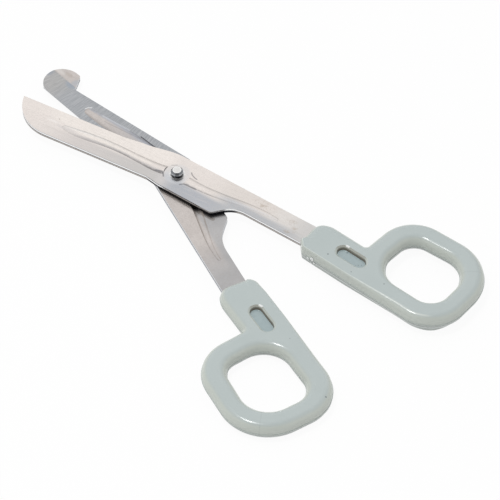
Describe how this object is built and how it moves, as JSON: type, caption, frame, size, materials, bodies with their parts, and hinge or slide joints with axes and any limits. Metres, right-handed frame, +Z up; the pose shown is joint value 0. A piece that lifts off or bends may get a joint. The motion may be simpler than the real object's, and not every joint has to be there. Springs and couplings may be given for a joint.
{
  "type": "bandage scissors",
  "caption": "Angled bandage scissors: flat riveted steel blades, the lower one with a blunt hooked nose, and grey plastic finger-loop handles that open and close.",
  "frame": {"origin": "middle of the bounding box's bottom, on the surface the lower handle lies on", "axes": "+X from the blades towards the handles along the line that halves the handles' angle, +Y towards the upper half's handle, +Z up along the rivet"},
  "size_m": [0.187, 0.1104, 0.0086],
  "materials": {
    "blade_steel": "satin, ground on the inner faces",
    "rivet_steel": "polished",
    "handle_plastic": "smooth, half gloss"
  },
  "bodies": {
    "lower_half": {"lower_blade": "blade_steel", "lower_handle": "handle_plastic", "pivot_rivet": "rivet_steel"},
    "upper_half": {"upper_blade": "blade_steel", "upper_handle": "handle_plastic"}
  },
  "joints": [
    {"name": "pivot", "type": "hinge", "parent": "lower_half", "child": "upper_half", "pos_m": [-0.01988, 0, 0.00428], "axis": [0, 0, 1], "range_deg": [-18.6, 71.4]}
  ]
}
